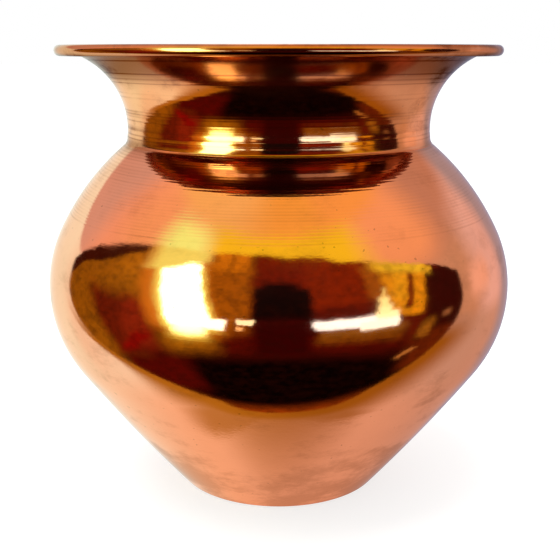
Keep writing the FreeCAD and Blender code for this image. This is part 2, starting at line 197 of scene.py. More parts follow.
def turned(name, section, materials):
    """Turn a section once round Z. Points on the axis become one vertex."""
    ring = np.linspace(0, 2 * math.pi, ROUND, endpoint=False)
    vertices, rows, tarnish_and_shade = [], [], []
    for (radius, height), dark in zip(section.points, section.tarnish_and_shade):
        if radius < TOUCHING:
            rows.append([len(vertices)] * ROUND)
            vertices.append((0.0, 0.0, height * MM))
            tarnish_and_shade.append(dark)
            continue
        tarnish_and_shade += [dark] * ROUND
        share = min(1.0, radius / TRUE_ROUND)
        reach = (radius + share * waviness(height, ring)) * MM
        rows.append(range(len(vertices), len(vertices) + ROUND))
        vertices += list(zip(reach * np.sin(ring), -reach * np.cos(ring), [height * MM] * ROUND))
    faces, sides = [], []
    count = len(rows)
    for index in range(count):
        following = (index + 1) % count
        lower, upper = rows[index], rows[following]
        for here in range(ROUND):
            beside = (here + 1) % ROUND
            corners = [lower[here], lower[beside], upper[beside], upper[here]]
            face = [corner for place, corner in enumerate(corners) if corner != corners[place - 1]]
            if len(face) > 2:
                faces.append(face)
                sides.append(section.sides[following])
    mesh = bpy.data.meshes.new(name)
    mesh.from_pydata(vertices, [], faces)
    mesh.validate()
    mesh.shade_smooth()
    mesh.set_sharp_from_angle(angle=math.radians(40))
    for material in materials:
        mesh.materials.append(material)
    mesh.polygons.foreach_set("material_index", sides)
    layer = mesh.attributes.new("tarnish_and_shade", "FLOAT", "POINT")
    layer.data.foreach_set("value", tarnish_and_shade)
    piece = bpy.data.objects.new(name, mesh)
    bpy.context.scene.collection.objects.link(piece)
    return piece


def carry(piece, node):
    """The piece stands for a CAD node and rides on the pot."""
    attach(piece, "root")
    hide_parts(node)


# ---------------------------------------------------------------- the shells

def make_bowl(materials):
    """Base, lower wall and lower belly, its edge stepped in to lap inside the shoulder."""
    corner_at = (BASE_RADIUS, CORNER_RADIUS)
    belly_at = (BELLY_RADIUS - LOWER_BELLY_RADIUS, BELLY_HEIGHT)
    lip_at = (BELLY_RADIUS - UPPER_BELLY_RADIUS, BELLY_HEIGHT)
    wall_at = crossing(corner_at, WALL_BOW - CORNER_RADIUS, belly_at, WALL_BOW - LOWER_BELLY_RADIUS)
    low, high = bearing(wall_at, corner_at), bearing(wall_at, belly_at)
    dome_bend = (DOME_RADIUS ** 2 + DOME_RISE ** 2) / (2 * DOME_RISE)
    dome_at = (0.0, DOME_RISE - dome_bend)
    dome_edge = bearing(dome_at, (DOME_RADIUS, 0.0))
    inner_edge = math.degrees(math.asin((SHEET - dome_at[1]) / (dome_bend + SHEET)))
    lip_radius = UPPER_BELLY_RADIUS - SHEET
    lip_angle = math.degrees(math.asin((LAP_TOP - BELLY_HEIGHT) / lip_radius))
    inner_belly = LOWER_BELLY_RADIUS - SHEET
    joggle = math.degrees(math.asin(-JOGGLE_HEIGHT / inner_belly))

    dome = Section().arc(dome_at, dome_bend, 90, dome_edge, OUTSIDE, step=0.25).points
    depths, darkness = (0.05, 0.03, 0.05, 0.06), (0.5, 0.3, 0.4, 0.6)
    rings = list(zip(BASE_RINGS, depths, darkness, [BASE_RING_WIDTH] * len(BASE_RINGS)))
    dome, dark = cut_marks(dome, rings, by=0)
    dome[0] = (0.0, dome[0][1])
    section = Section().add(dome, OUTSIDE, dark + 0.25)
    section.line((DOME_RADIUS, 0), (BASE_RADIUS, 0), OUTSIDE)
    section.arc(corner_at, CORNER_RADIUS, -90, low, OUTSIDE, step=0.15)
    section.arc(wall_at, WALL_BOW, low, high, OUTSIDE, step=0.7)
    section.arc(belly_at, LOWER_BELLY_RADIUS, high, 0, OUTSIDE, step=0.5)
    section.line((BELLY_RADIUS, BELLY_HEIGHT), (BELLY_RADIUS - SHEET, BELLY_HEIGHT), INSIDE)
    section.arc(lip_at, lip_radius, 0, lip_angle, INSIDE)
    section.line(at(lip_at, lip_radius, lip_angle), at(lip_at, lip_radius - SHEET, lip_angle), INSIDE)
    section.arc(lip_at, lip_radius - SHEET, lip_angle, 0, INSIDE)
    step_top = (BELLY_RADIUS - 2 * SHEET, BELLY_HEIGHT)
    section.line(step_top, at(belly_at, inner_belly, joggle), INSIDE, step=0.3)
    section.arc(belly_at, inner_belly, joggle, high, INSIDE)
    section.arc(wall_at, WALL_BOW - SHEET, high, low, INSIDE)
    section.arc(corner_at, CORNER_RADIUS - SHEET, low, -90, INSIDE, step=0.15)
    section.line((BASE_RADIUS, SHEET), at(dome_at, dome_bend + SHEET, inner_edge), INSIDE)
    section.arc(dome_at, dome_bend + SHEET, inner_edge, 90, INSIDE)
    section.points[-1] = (0.0, section.points[-1][1])
    carry(turned("bowl_shell", section, materials), "bowl")


def make_shoulder(materials):
    """Upper belly and shoulder with the turned lines, and the upright lip inside the collar."""
    belly_at = (BELLY_RADIUS - UPPER_BELLY_RADIUS, BELLY_HEIGHT)
    root_at = (WAIST_RADIUS + SKIRT_RADIUS, NECK_HEIGHT)
    root = SKIRT_RADIUS + SHEET
    bow_at = crossing(belly_at, SHOULDER_BOW - UPPER_BELLY_RADIUS, root_at, SHOULDER_BOW + root)
    low, high = bearing(bow_at, belly_at), bearing(bow_at, root_at)
    lip_top = NECK_HEIGHT + WAIST_LAND
    outer, inner = WAIST_RADIUS - SHEET, WAIST_RADIUS - 2 * SHEET

    face = Section().arc(belly_at, UPPER_BELLY_RADIUS, 0, low, OUTSIDE, step=0.35)
    face.arc(bow_at, SHOULDER_BOW, low, high, OUTSIDE, step=0.11)
    rng = np.random.default_rng(4)
    lines = marks(rng, *SHOULDER_LINES, pitch=0.53, jitter=0.12, depth=0.008, tarnish_and_shade=0.24, width=0.12)
    points, dark = cut_marks(face.points, lines)

    # Painted shade: the shoulder darkens towards the crease under the skirt.
    crease = NECK_HEIGHT - SKIRT_DROP
    dark += 0.4 * fade(np.array(points)[:, 1], crease - CREASE_REACH, crease)
    section = Section().add(points, OUTSIDE, np.minimum(1.0, dark))
    hidden = SKIRT_END - FINISHED_UNDER
    # Painted shade under the skirt's edge as well.
    under = Section().arc(root_at, root, 180 + high, hidden, OUTSIDE, step=0.12).points
    section.add(under, OUTSIDE, [0.5] * len(under))
    section.arc(root_at, root, hidden, 180, INSIDE, step=0.4)
    section.line((outer, NECK_HEIGHT), (outer, lip_top), INSIDE)
    section.line((outer, lip_top), (inner, lip_top), INSIDE)
    section.line((inner, lip_top), (inner, NECK_HEIGHT), INSIDE)
    section.arc(root_at, root + SHEET, 180, 180 + high, INSIDE, step=0.4)
    section.arc(bow_at, SHOULDER_BOW - SHEET, high, low, INSIDE)
    section.arc(belly_at, UPPER_BELLY_RADIUS - SHEET, low, 0, INSIDE)
    carry(turned("shoulder_shell", section, materials), "shoulder")


def make_collar(materials):
    """Skirt, waist, flared mouth and the edge rolled round the wire."""
    skirt_at = (WAIST_RADIUS + SKIRT_RADIUS, NECK_HEIGHT)
    land_top = NECK_HEIGHT + WAIST_LAND
    flare_at = (WAIST_RADIUS + FLARE_RADIUS, land_top)
    bead_at = (RIM_RADIUS - BEAD_RADIUS, HEIGHT - BEAD_RADIUS)
    wire_hole = BEAD_RADIUS - SHEET
    lean = math.degrees(math.acos((FLARE_RADIUS - wire_hole) / math.dist(flare_at, bead_at)))
    rise = bearing(flare_at, bead_at) + lean
    inner = WAIST_RADIUS - SHEET

    angles = np.linspace(SKIRT_END, 180, 34)
    lift = (SHEET - SKIRT_EDGE) * fade(angles, SKIRT_END - THINNED, SKIRT_END)
    skirt = [at(skirt_at, SKIRT_RADIUS + more, angle) for more, angle in zip(lift, angles)]
    face = Section().add(skirt, OUTSIDE)
    face.line((WAIST_RADIUS, NECK_HEIGHT), (WAIST_RADIUS, land_top), OUTSIDE, step=0.12)
    face.arc(flare_at, FLARE_RADIUS, 180, rise, OUTSIDE, step=0.14)
    rng = np.random.default_rng(9)
    lines = marks(rng, *WAIST_LINES, pitch=0.75, jitter=0.6, depth=0.014, tarnish_and_shade=0.45, width=0.13)
    lines += marks(rng, *FLARE_LINES, pitch=2.2, jitter=0.7, depth=0.006, tarnish_and_shade=0.4, width=0.11)
    points, dark = cut_marks(face.points, lines)

    # Painted shade darkens the flare's underside, the skirt's lower part and the rolled edge's underside.
    heights = np.array(points)[:, 1]
    dark += 0.9 * fade(heights, CROOK_FROM, CROOK_FULL) + 0.5 * fade(-heights, -SKIRT_UNSHADED, -SKIRT_SHADED)
    section = Section().add(points, OUTSIDE, np.minimum(1.0, dark))
    section.line(section.points[-1], at(bead_at, wire_hole, rise), OUTSIDE, step=0.5)
    section.arc(bead_at, wire_hole, 360 + rise, 180, INSIDE, step=0.25)
    section.line((bead_at[0] - wire_hole, bead_at[1]), (bead_at[0] - BEAD_RADIUS, bead_at[1]), OUTSIDE)
    bead = Section().arc(bead_at, BEAD_RADIUS, 180, 360 + rise, OUTSIDE, step=0.16).points
    # The rolled edge is tarnished all round, with painted shade added on its underside.
    underneath = 1 - fade(np.linspace(180, 360 + rise, len(bead)), BEAD_SHADED, BEAD_UNSHADED)
    section.add(bead, OUTSIDE, 0.55 + 0.4 * underneath)
    flare_end = at(flare_at, FLARE_RADIUS + SHEET, rise)
    section.line(at(bead_at, BEAD_RADIUS, rise), flare_end, OUTSIDE, step=0.5)
    section.arc(flare_at, FLARE_RADIUS + SHEET, rise, 180, OUTSIDE, step=0.6)
    section.line((inner, land_top), (inner, NECK_HEIGHT), INSIDE)
    section.arc(skirt_at, SKIRT_RADIUS + SHEET, 180, SKIRT_END, INSIDE, step=0.4)
    middle = at(skirt_at, SKIRT_RADIUS + SHEET - SKIRT_EDGE / 2, SKIRT_END)
    section.arc(middle, SKIRT_EDGE / 2, SKIRT_END, SKIRT_END + 180, OUTSIDE, step=0.04)
    section.close()
    carry(turned("collar_shell", section, materials), "neck_collar")


def make_brazes(material):
    """The two fillets inside, slightly hollow, as braze is when it sets."""
    centre = (BELLY_RADIUS - UPPER_BELLY_RADIUS, BELLY_HEIGHT)
    radius = UPPER_BELLY_RADIUS - SHEET
    low = math.degrees(math.asin((LAP_TOP - BELLY_HEIGHT) / radius))
    high = math.degrees(math.asin((LAP_TOP - BELLY_HEIGHT + BRAZE_LEG) / radius))
    toe, top, heel = at(centre, radius - SHEET, low), at(centre, radius, high), at(centre, radius, low)
    carry(turned("belly_braze_fillet", fillet(toe, top, heel), [material]), "belly_braze")
    lip_top = NECK_HEIGHT + WAIST_LAND
    centre = (WAIST_RADIUS + FLARE_RADIUS, lip_top)
    top_angle = 180 - math.degrees(math.asin(BRAZE_LEG / (FLARE_RADIUS + SHEET)))
    toe, heel = (WAIST_RADIUS - 2 * SHEET, lip_top), (WAIST_RADIUS - SHEET, lip_top)
    top = at(centre, FLARE_RADIUS + SHEET, top_angle)
    carry(turned("neck_braze_fillet", fillet(toe, top, heel), [material]), "neck_braze")


def fillet(toe, top, heel):
    """A triangle whose long side is hollowed towards the heel."""
    mix = np.linspace(0, 1, 9)[:, None]
    hollow = 0.5 * mix * (1 - mix)
    curve = (1 - mix) * toe + mix * np.array(top)
    curve += hollow * (np.array(heel) - curve)
    return Section().add([tuple(p) for p in curve[::-1]], OUTSIDE).line(toe, heel, OUTSIDE)


# ---------------------------------------------------------------- node helpers

class Graph:
    """Short ways to add nodes to one tree. Each call returns the new node's output."""

    def __init__(self, tree):
        self.tree = tree
        self.tree.nodes.clear()

    def node(self, kind, **settings):
        made = self.tree.nodes.new(kind)
        for name, value in settings.items():
            setattr(made, name, value)
        return made

    def link(self, source, socket):
        if hasattr(source, "is_output"):
            self.tree.links.new(source, socket)
        else:
            socket.default_value = source

    def math(self, operation, first, second=0.0, third=0.0, clamp=False):
        made = self.node("ShaderNodeMath", operation=operation, use_clamp=clamp)
        for socket, value in zip(made.inputs, (first, second, third)):
            self.link(value, socket)
        return made.outputs[0]

    def both(self, first, second):
        """The product of two masks."""
        return self.math("MULTIPLY", first, second)

    def between(self, share, first, second):
        """The first number, going over to the second as the share goes to 1."""
        return self.math("MULTIPLY_ADD", share, self.math("SUBTRACT", second, first), first)

    def away(self, value, middle):
        """How far a value is from the middle, either way."""
        return self.math("ABSOLUTE", self.math("SUBTRACT", value, middle))

    def length(self, vector):
        made = self.node("ShaderNodeVectorMath", operation="LENGTH")
        self.link(vector, made.inputs[0])
        return made.outputs["Value"]

    def split(self, vector):
        made = self.node("ShaderNodeSeparateXYZ")
        self.link(vector, made.inputs[0])
        return made.outputs

    def combine(self, x, y, z):
        made = self.node("ShaderNodeCombineXYZ")
        for socket, value in zip(made.inputs, (x, y, z)):
            self.link(value, socket)
        return made.outputs[0]

    def ramp(self, value, low, high, to_low=0.0, to_high=1.0):
        """A smooth step from to_low, where the value is low, to to_high, where it is high."""
        made = self.node("ShaderNodeMapRange", interpolation_type="SMOOTHSTEP")
        for socket, source in zip(made.inputs, (value, low, high, to_low, to_high)):
            self.link(source, socket)
        return made.outputs[0]

    def noise(self, vector, scale=1.0, detail=2.0, roughness=0.5, w=None):
        made = self.node("ShaderNodeTexNoise", noise_dimensions="3D" if w is None else "4D")
        self.link(vector, made.inputs["Vector"])
        if w is not None:
            self.link(w, made.inputs["W"])
        made.inputs["Scale"].default_value = scale
        made.inputs["Detail"].default_value = detail
        made.inputs["Roughness"].default_value = roughness
        return made.outputs["Fac"]

    def mix(self, factor, first, second):
        """A mix of two colours, each an output or plain red, green and blue."""
        made = self.node("ShaderNodeMix", data_type="RGBA")
        self.link(factor, made.inputs["Factor"])
        for socket, colour in zip((made.inputs[6], made.inputs[7]), (first, second)):
            self.link((*colour, 1.0) if isinstance(colour, tuple) else colour, socket)
        return made.outputs[2]


# ---------------------------------------------------------------- materials

COPPER = (0.95, 0.50, 0.32)
COLLAR_COPPER = (0.93, 0.43, 0.21)
TARNISH_AND_SHADE = (0.34, 0.17, 0.09)
STAINED = (0.46, 0.28, 0.17)
BROWN_TARNISH_AND_SHADE = (0.24, 0.095, 0.06)
BRASSY = (0.83, 0.63, 0.36)
INSIDE_COPPER = (0.88, 0.44, 0.26)
WIRE_COPPER = (0.72, 0.40, 0.27)
EDGE, TARNISH_AND_SHADE_EDGE = (1.0, 0.76, 0.66), (0.40, 0.30, 0.28)  # tints at a glancing angle

# Places of noise are in metres, so a scale of 1000 is about one feature a millimetre.
TOOL_LINES, STROKE_LINES = 2600.0, 2400.0  # across the lines
TOOL_RUN, STROKE_RUN = 14.0, 260.0  # along them
DENTS, GRAIN, HAZE, SMUDGES, SPECKS = 330.0, 1500.0, 48.0, 70.0, 900.0
DARKENING_TOP, DARKENING_FOOT = 0.022, 0.004  # heights in metres between which the metal gets darker towards the foot


def metal(name, clean, dull=TARNISH_AND_SHADE, rough=0.04, lines=0.0, mottle=0.003, grit=0.0,
          smudged=0.3, foot_darkening=0.0):
    """Turned and polished metal: circular tool lines, soft mottling, grit, haze, smudges and dark specks.

    The depths of lines, mottle and grit are in millimetres. The last argument darkens and smudges it towards
    the foot.
    """
    material = bpy.data.materials.new(name)
    material.use_nodes = True
    g = Graph(material.node_tree)
    place = g.node("ShaderNodeTexCoord").outputs["Object"]
    x, y, z = g.split(place)
    radius = g.length(g.combine(x, y, 0.0))

    # Fine circular lines run all the way round; brushing is in short strokes along them.
    along = g.combine(g.math("MULTIPLY", x, TOOL_RUN), g.math("MULTIPLY", y, TOOL_RUN),
                      g.math("MULTIPLY", radius, TOOL_LINES))
    tool = g.noise(along, detail=3.0, roughness=0.6, w=g.math("MULTIPLY", z, TOOL_LINES))
    along = g.combine(g.math("MULTIPLY", x, STROKE_RUN), g.math("MULTIPLY", y, STROKE_RUN),
                      g.math("MULTIPLY", z, STROKE_LINES))
    stroke = g.noise(along, detail=2.0)
    dents = g.noise(place, scale=DENTS, detail=4.0, roughness=0.55)
    grain = g.noise(place, scale=GRAIN, detail=2.0)
    haze = g.noise(place, scale=HAZE, detail=5.0, roughness=0.6)
    flattened = g.combine(x, y, g.math("MULTIPLY", z, 2.0))
    smudge = g.noise(flattened, scale=SMUDGES, detail=6.0, roughness=0.68)
    speck = g.noise(place, scale=SPECKS, detail=1.0)

    height = g.math("MULTIPLY", tool, lines)
    height = g.math("MULTIPLY_ADD", stroke, grit * 0.4, height)
    height = g.math("MULTIPLY_ADD", dents, mottle, height)
    height = g.math("MULTIPLY_ADD", grain, grit, height)
    bump = g.node("ShaderNodeBump")
    bump.inputs["Strength"].default_value = 1.0
    bump.inputs["Distance"].default_value = MM
    g.link(height, bump.inputs["Height"])

    # Tarnish, painted shade and smudges dull the metal in patches, and specks are small and dark.
    # The shells' attribute holds painted shade as well as tarnish.
    tarnish_and_shade = g.node("ShaderNodeAttribute", attribute_name="tarnish_and_shade").outputs["Fac"]
    patches = g.math("MAXIMUM", g.ramp(haze, 0.38, 0.62, 0.15, 1.0), tarnish_and_shade)
    # The metal gets darker towards the foot.
    low = g.ramp(z, DARKENING_TOP, DARKENING_FOOT, 0.0, foot_darkening)
    stain_and_shade = g.math("MULTIPLY", g.ramp(g.math("ADD", smudge, low), 0.5, 0.72), smudged)
    stain_and_shade = g.math("MULTIPLY_ADD", tarnish_and_shade, patches, stain_and_shade, clamp=True)
    speckle = g.math("MULTIPLY", g.ramp(speck, 0.74, 0.8), 0.7)
    colour = g.mix(g.ramp(haze, 0.35, 0.7, 0.0, 0.5), clean, tuple(0.86 * part for part in clean))
    colour = g.mix(stain_and_shade, colour, dull)
    colour = g.mix(speckle, colour, STAINED)
    gloss = g.ramp(haze, 0.3, 0.75, rough, rough * 2.2)
    gloss = g.math("MULTIPLY_ADD", stain_and_shade, 0.10, gloss)

    shader = g.node("ShaderNodeBsdfPrincipled")
    shader.inputs["Metallic"].default_value = 1.0
    g.link(colour, shader.inputs["Base Color"])
    g.link(gloss, shader.inputs["Roughness"])
    g.link(g.mix(stain_and_shade, EDGE, TARNISH_AND_SHADE_EDGE), shader.inputs["Specular Tint"])
    g.link(bump.outputs["Normal"], shader.inputs["Normal"])
    out = g.node("ShaderNodeOutputMaterial")
    g.link(shader.outputs["BSDF"], out.inputs["Surface"])
    return material


# ---------------------------------------------------------------- room, floor and camera

FRONT = -1  # the camera's side is -Y

# What the polished copper mirrors inside the dark room. Each card has a name, its azimuth from and to,
# its elevation from and to, how far it leans (degrees of azimuth for each degree of elevation), its
# softness and its colour. Angles are in degrees. Azimuth 0 is the -Y side, and it grows towards +X.
WALLS = (
    ("left_wall", -125, -66, -40, 36, 0.0, 6, (0.34, 0.155, 0.006)),
    ("left_upper", -88, -64, 14, 36, 0.0, 8, (0.52, 0.25, 0.01)),
    ("left_shade", -100, -68, -30, 4, -0.5, 5, (0.15, 0.018, 0.004)),
    ("left_warm", -78, -62, -26, 6, 0.0, 5, (0.27, 0.03, 0.008)),
    ("low_red", -88, -46, -56, -27, 0.0, 7, (0.09, 0.004, 0.002)),
    ("red_cloth", -55, -44, -28, -15, 1.1, 3.2, (0.27, 0.006, 0.003)),
    ("brown_wall", -42, -13, -14, 54, 0.0, 4, (0.40, 0.15, 0.005)),
    ("cornice", -44, -18, 37, 54, 0.0, 4, (0.68, 0.28, 0.008)),
    ("dark_red_wall", -13, 22, 27, 54, 0.0, 4, (0.20, 0.016, 0.002)),
    ("rust_wall", 14, 54, 10, 54, 0.0, 4, (0.24, 0.026, 0.002)),
    ("left_floor", -56, -30, -24, -8, 0.0, 8, (0.45, 0.22, 0.006)),
    ("middle_floor", -26, 58, -22, -8, 0.0, 9, (0.10, 0.004, 0.001)),
    ("strip_floor", 18, 60, -18, -8, 0.0, 4, (0.24, 0.09, 0.005)),
    ("right_floor", 66, 96, -40, -12, 0.0, 6, (0.14, 0.025, 0.003)),
    ("centre_dark", -12.5, 15.5, 0, 26, 0.0, 2.5, (0.004, 0.001, 0.001)),
    ("centre_dark_top", -8, 10, 22, 31, 0.0, 3.5, (0.006, 0.001, 0.001)),
    ("centre_low", -12, 16, -28, 2, 0.0, 5, (0.035, 0.001, 0.001)),
    ("olive_panel", 44, 56, 12, 36, 0.0, 3, (0.40, 0.14, 0.01)),
    ("gold_panel", 53, 69, -1, 44, 0.0, 2.5, (0.92, 0.52, 0.015)),
    ("gold_edge", 60, 71.5, -3, 34, 0.35, 1.8, (0.97, 0.52, 0.012)),
    ("bright_gold", 54.5, 61, 9, 31, 0.22, 2.2, (1.03, 0.66, 0.02)),
    ("gold_rim", 74, 77, 3, 22, 0.3, 1.0, (1.03, 0.80, 0.06)),
    ("dark_streak", 60.5, 64.5, 2, 26, 0.28, 1.1, (0.20, 0.025, 0.003)),
    ("dark_card", 73, 100, -14, 19, 0.2, 2.2, (0.04, 0.004, 0.002)),
    ("right_patch", 74, 81, -19, -8, 0.3, 2.5, (0.42, 0.21, 0.02)),
    ("pale_mark", 87, 92, -9, -6, 0.5, 1.5, (0.34, 0.18, 0.08)),
)

# What shines in it, painted over the walls.
LIGHTS = (
    ("foot_glow", -52, -32, -19, -8, 0.0, 7, (0.48, 0.28, 0.012)),
    ("window_glow", -65, -28, -10, 46, -0.31, 5, (0.70, 0.28, 0.02)),
    ("foot_fringe", -51, -33, -15.5, -6, 0.0, 4.5, (1.1, 1.2, 0.2)),
    ("window_fringe", -57.5, -29, -9, 36, -0.31, 3, (1.1, 1.3, 0.26)),
    ("window_foot", -49, -34, -11.5, -4, 0.0, 3.8, (4.0, 5.5, 2.8)),
    ("window", -54.0, -31.5, -6, 38, -0.31, 1.8, (4.5, 6.5, 4.0)),
    ("sill", -34, -25, -7, 0.5, 0.0, 1.4, (2.6, 3.4, 3.2)),
    ("lamp", -19, -11.5, -2.5, 1.3, 0.0, 0.8, (1.6, 1.9, 1.4)),
    ("lamp_foot", -20, -16.5, -7, -4.5, 0.0, 0.8, (1.2, 0.9, 0.4)),
    ("strip_glow", 20, 62, -12, -8, 0.0, 3.5, (0.30, 0.15, 0.02)),
    ("strip", 16, 57, -7, 0.3, 0.0, 1.3, (1.7, 2.4, 3.0)),
    ("strip_low", 38, 58, -9.6, -4, 0.0, 1.3, (1.7, 2.3, 2.5)),
    ("strip_end", 46, 57.5, -3, 2.5, 0.0, 1.6, (1.8, 2.2, 1.5)),
    ("strip_tip", 47.2, 54.5, 1, 7.5, 0.0, 1.6, (1.6, 2.0, 1.2)),
    ("strip_neck", 48, 52.5, 6, 12.5, 0.06, 1.4, (1.5, 1.8, 0.9)),
    ("strip_point", 49, 50.8, 11, 18, 0.1, 1.0, (1.2, 1.3, 0.5)),
    ("low_streak", 102, 105, -32, -25.5, 1.3, 1.0, (0.50, 0.26, 0.07)),
)

# Behind the pot, for the views from the back.
BEHIND = (
    ("back_frame", 169, 194, 15, 52, 0.0, 1.5, (0.34, 0.20, 0.15)),
    ("back_window", 173, 190, 20, 46, 0.0, 1.5, (2.0, 2.5, 3.0)),
)

# On the dusky wall to the right.
PALE_PATCH = ("pale_patch", 105, 122, -5, 8, 0.0, 5, (0.98, 0.66, 0.56))

# Colours inside the room.
ROOM, ROOM_LOW = (0.12, 0.010, 0.003), (0.002, 0.0005, 0.0005)
NEAR_EDGE, GOLD_TOP = (0.34, 0.07, 0.004), (1.02, 0.90, 0.05)
EAVE, GRIME = (0.05, 0.008, 0.002), (0.02, 0.004, 0.002)
WINDOW_HEAD = (1.0, 1.25, 0.32)

# Colours outside it.
DUSK_NEAR, DUSK = (0.64, 0.42, 0.30), (0.87, 0.71, 0.77)
DUSK_LOW, DUSK_HIGH = (0.64, 0.50, 0.46), (0.58, 0.35, 0.27)
BLUE_SHADE = (0.42, 0.46, 0.63)
PAPER, PAPER_BEHIND, PAPER_LOW = (1.03, 1.04, 0.92), (1.03, 1.33, 1.27), (1.07, 1.17, 1.07)
LEFT_WALL_BEHIND, LEFT_WALL = (0.74, 0.53, 0.50), (0.98, 0.54, 0.37)
GROUND_LEFT, GROUND_RIGHT = (1.02, 0.75, 0.55), (0.80, 0.55, 0.44)
SHADE_LEFT, SHADE_RIGHT = (0.48, 0.24, 0.02), (0.36, 0.155, 0.012)
OVERHEAD_LEFT, OVERHEAD_RIGHT = (1.02, 0.58, 0.30), (1.0, 0.54, 0.28)
GOLD_BAND, WINDOW_HALO = (1.02, 0.88, 0.03), (1.02, 1.55, 0.5)
HIGHER_LEFT, HIGHER_MIDDLE, HIGHER_RIGHT = (1.02, 0.72, 0.26), (1.02, 0.58, 0.11), (1.01, 0.54, 0.14)

# The room's arched top, in degrees. It falls with the square and the sixth power of the way out.
ARCH_MIDDLE, ARCH_REACH, ARCH_TOP = -9.0, 110.0, 46.5
ARCH_FALL, ARCH_END_FALL = -29.0, -8.0

# The line where the room's floor ends, and the shade outside it, as the forward part of a direction.
LINE_END, LINE_TURN, LINE_UNEVEN = 0.25, -0.12, 0.006
SHADE_START, SHADE_END = -0.06, -0.48

RAGGED, UNEVEN = 3.0, 2.0  # how far noise moves the room's edges, in degrees of azimuth and elevation


def panel(g, behind, card, azimuth, elevation):
    """One card painted over what is behind it."""
    _, az_low, az_high, el_low, el_high, lean, soft, colour = card
    across = g.math("MULTIPLY_ADD", elevation, -lean, azimuth)
    mask = g.ramp(across, az_low - soft, az_low + soft)
    mask = g.both(mask, g.ramp(across, az_high + soft, az_high - soft))
    mask = g.both(mask, g.ramp(elevation, el_low - soft, el_low + soft))
    mask = g.both(mask, g.ramp(elevation, el_high + soft, el_high - soft))
    return g.mix(mask, behind, colour)


def floor_line(g, drop, level, steep, start, turn):
    """Where the room's floor ends on one side: how far forward a direction points there, by its drop.

    It goes from start, at the drop level, to LINE_END, at the drop steep, and turns back from the drop turn.
    """
    line = g.ramp(drop, level, steep, start, LINE_END)
    return g.math("ADD", line, g.ramp(drop, turn, 1.0, 0.0, LINE_TURN))


def room_outline(g, azimuth, elevation, x, front, drop, uneven):
    """How far inside the room a direction lies: below its arched top, and in front of its floor's end."""
    aside = g.math("DIVIDE", g.math("SUBTRACT", azimuth, ARCH_MIDDLE), ARCH_REACH)
    square = g.math("MULTIPLY", aside, aside)
    arch = g.math("MULTIPLY_ADD", square, ARCH_FALL, ARCH_TOP)
    arch = g.math("MULTIPLY_ADD", g.math("POWER", square, 3.0), ARCH_END_FALL, arch)
    headroom = g.math("SUBTRACT", arch, elevation)
    left = floor_line(g, drop, level=0.05, steep=0.85, start=-0.50, turn=0.9)
    right = floor_line(g, drop, level=0.0, steep=0.75, start=-0.13, turn=0.8)
    line = g.between(g.ramp(x, -0.3, 0.3), left, right)
    reach = g.math("MULTIPLY_ADD", uneven, LINE_UNEVEN, g.math("SUBTRACT", front, line))
    return headroom, reach


def make_room(g, direction, azimuth, elevation, front, headroom):
    """The dark room: its walls and edges, grimy in patches, and its lights."""
    room = g.mix(g.ramp(elevation, -13, -36), ROOM, ROOM_LOW)
    for card in WALLS:
        room = panel(g, room, card, azimuth, elevation)
    near_edge = g.both(g.ramp(front, 0.34, 0.12), g.ramp(elevation, -48, -62))
    room = g.mix(near_edge, room, NEAR_EDGE)
    gold_top = g.both(g.ramp(azimuth, 46, 58), g.ramp(azimuth, 84, 76))
    room = g.mix(g.both(gold_top, g.ramp(headroom, 10, 4)), room, GOLD_TOP)
    eave_depth = g.ramp(azimuth, -64, -108, 1.2, 6.5)
    eave = g.ramp(g.math("SUBTRACT", headroom, eave_depth), 1.5, -0.5)
    room = g.mix(g.both(eave, g.ramp(azimuth, -58, -72)), room, EAVE)
    patchy = g.noise(direction, scale=14.0, detail=6.0, roughness=0.7, w=5.0)
    room = g.mix(g.ramp(patchy, 0.40, 0.66, 0.0, 0.5), room, GRIME)
    for card in LIGHTS:
        room = panel(g, room, card, azimuth, elevation)
    head = g.both(g.ramp(azimuth, -78, -66), g.ramp(azimuth, -36, -46))
    head_low = g.math("SUBTRACT", headroom, g.ramp(azimuth, -42, -66, 0.0, 5.0))
    return g.mix(g.both(head, g.ramp(head_low, 6.5, 3.5)), room, WINDOW_HEAD)


def dusky_wall(g, azimuth, elevation):
    """The wall on the right: browner low down and high up, bluish behind, with one pale patch."""
    dusk = g.mix(g.ramp(azimuth, 104, 124), DUSK_NEAR, DUSK)
    dusk = g.mix(g.ramp(elevation, -9, -17), dusk, DUSK_LOW)
    blue = g.both(g.ramp(azimuth, 130, 146), g.ramp(elevation, -36, -22))
    dusk = g.mix(blue, dusk, BLUE_SHADE)
    dusk = g.mix(g.ramp(elevation, 17, 31), dusk, DUSK_HIGH)
    return panel(g, dusk, PALE_PATCH, azimuth, elevation)


def paper_wall(g, azimuth, elevation, z):
    """Pale paper on the left, and the warmer wall above it."""
    wall = g.mix(g.ramp(azimuth, -126, -102), LEFT_WALL_BEHIND, LEFT_WALL)
    paper = g.mix(g.ramp(azimuth, -114, -132), PAPER, PAPER_BEHIND)
    paper = g.mix(g.ramp(z, -0.42, -0.72), paper, PAPER_LOW)
    slant = g.math("MULTIPLY_ADD", azimuth, 0.3, elevation)
    return g.mix(g.ramp(slant, -27, -24), paper, wall)


def ground_shade(g, azimuth, drop, side, reach):
    """How deep the brown shade is that lies on the ground next to the room, and right under the pot."""
    end = g.between(side, g.ramp(drop, 0.5, 0.9, -0.10, SHADE_END), SHADE_END)
    shade = g.math("DIVIDE", g.math("SUBTRACT", reach, end), g.math("SUBTRACT", SHADE_START, end))
    shade = g.both(g.ramp(shade, 0.0, 1.0), g.ramp(drop, 0.12, 0.42))
    below = g.ramp(g.away(azimuth, -3.0), 128, 119, 0.0, 0.85)
    return g.math("MAXIMUM", shade, g.both(below, g.ramp(drop, 0.86, 0.95)))


